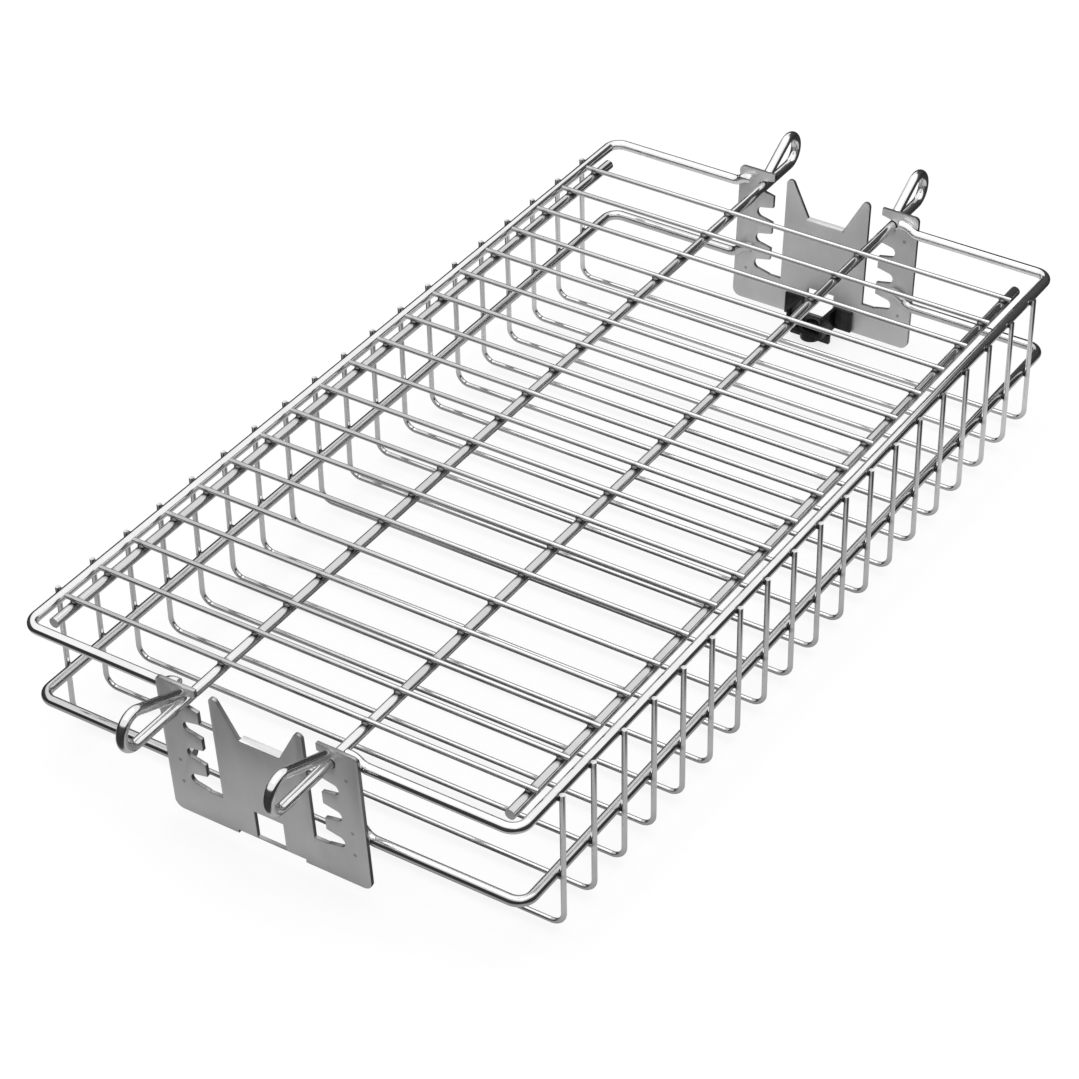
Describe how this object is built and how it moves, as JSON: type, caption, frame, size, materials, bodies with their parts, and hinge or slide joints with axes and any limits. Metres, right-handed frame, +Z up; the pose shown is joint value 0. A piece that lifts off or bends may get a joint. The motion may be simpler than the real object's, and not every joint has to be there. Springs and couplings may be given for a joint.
{
  "type": "rotisserie grill basket",
  "caption": "Flat wire basket for a grill's rotisserie spit: welded rims and ribs, notched sheet end plates, and a drop-in wire lid with squeezable finger loops.",
  "frame": {"origin": "middle of the overall box in X and Y, at the lowest point, which is the underside of the clamp screw's wings", "axes": "+X along the basket towards the end with the spit clamp, +Y across the basket, +Z up out of its open top"},
  "size_m": [0.449, 0.2082, 0.0731],
  "materials": {
    "basket_wire": "bright plated",
    "lid_wire": "bright plated",
    "plate_sheet": "satin plated sheet",
    "clamp_sheet": "dark, satin",
    "clamp_screw": "dark, satin"
  },
  "bodies": {
    "basket": {"top_rim_left": "basket_wire", "top_rim_right": "basket_wire", "near_left_band": "basket_wire", "near_right_band": "basket_wire", "far_left_band": "basket_wire", "far_right_band": "basket_wire", "rib_01": "basket_wire", "rib_02": "basket_wire", "rib_03": "basket_wire", "rib_04": "basket_wire", "rib_05": "basket_wire", "rib_06": "basket_wire", "rib_07": "basket_wire", "rib_08": "basket_wire", "rib_09": "basket_wire", "rib_10": "basket_wire", "rib_11": "basket_wire", "rib_12": "basket_wire", "rib_13": "basket_wire", "rib_14": "basket_wire", "rib_15": "basket_wire", "rib_16": "basket_wire", "rib_17": "basket_wire", "rib_18": "basket_wire", "rib_19": "basket_wire", "near_end_plate": "plate_sheet", "far_end_plate": "plate_sheet", "clamp_bracket": "clamp_sheet"},
    "lid": {"lid_rail_left": "lid_wire", "lid_rail_right": "lid_wire", "lid_rod_left": "lid_wire", "lid_rod_right": "lid_wire", "lid_wire_01": "lid_wire", "lid_wire_02": "lid_wire", "lid_wire_03": "lid_wire", "lid_wire_04": "lid_wire", "lid_wire_05": "lid_wire", "lid_wire_06": "lid_wire", "lid_wire_07": "lid_wire", "lid_wire_08": "lid_wire", "lid_wire_09": "lid_wire", "lid_wire_10": "lid_wire", "lid_wire_11": "lid_wire", "lid_wire_12": "lid_wire", "lid_wire_13": "lid_wire", "lid_wire_14": "lid_wire", "lid_wire_15": "lid_wire", "lid_wire_16": "lid_wire", "lid_wire_17": "lid_wire", "lid_wire_18": "lid_wire", "lid_wire_19": "lid_wire"},
    "near_left_end": {"near_left_rod_end": "lid_wire", "near_left_loop": "lid_wire"},
    "near_right_end": {"near_right_rod_end": "lid_wire", "near_right_loop": "lid_wire"},
    "far_left_end": {"far_left_rod_end": "lid_wire", "far_left_loop": "lid_wire"},
    "far_right_end": {"far_right_rod_end": "lid_wire", "far_right_loop": "lid_wire"},
    "clamp_screw_body": {"clamp_screw": "clamp_screw"}
  },
  "joints": [
    {"name": "lid_height", "type": "slide", "parent": "basket", "child": "lid", "axis": [0, 0, 1], "range_m": [-0.036, 0.05], "deforming": ["near_left_rod_end", "near_right_rod_end", "far_left_rod_end", "far_right_rod_end"]},
    {"name": "near_left_pinch", "type": "hinge", "parent": "lid", "child": "near_left_end", "pos_m": [-0.1697, 0.0295, 0.05812], "axis": [0, 0, 1], "range_deg": [0, 21], "stiffness_Nm_per_rad": 1.2},
    {"name": "near_right_pinch", "type": "hinge", "parent": "lid", "child": "near_right_end", "pos_m": [-0.1697, -0.0295, 0.05812], "axis": [0, 0, 1], "range_deg": [-21, 0], "stiffness_Nm_per_rad": 1.2},
    {"name": "far_right_pinch", "type": "hinge", "parent": "lid", "child": "far_right_end", "pos_m": [0.1669, -0.0295, 0.05812], "axis": [0, 0, 1], "range_deg": [0, 14.5], "stiffness_Nm_per_rad": 1.2},
    {"name": "far_left_pinch", "type": "hinge", "parent": "lid", "child": "far_left_end", "pos_m": [0.1669, 0.0295, 0.05812], "axis": [0, 0, 1], "range_deg": [-14.5, 0], "stiffness_Nm_per_rad": 1.2},
    {"name": "clamp_screw_turn", "type": "hinge", "parent": "basket", "child": "clamp_screw_body", "pos_m": [0.18597, 0, 0.00507], "axis": [0.0665, 0, 0.9978], "continuous": true}
  ],
  "couplings": [
    {"joint": "near_right_pinch", "follows": "near_left_pinch", "ratio": -1},
    {"joint": "far_left_pinch", "follows": "far_right_pinch", "ratio": -1}
  ]
}
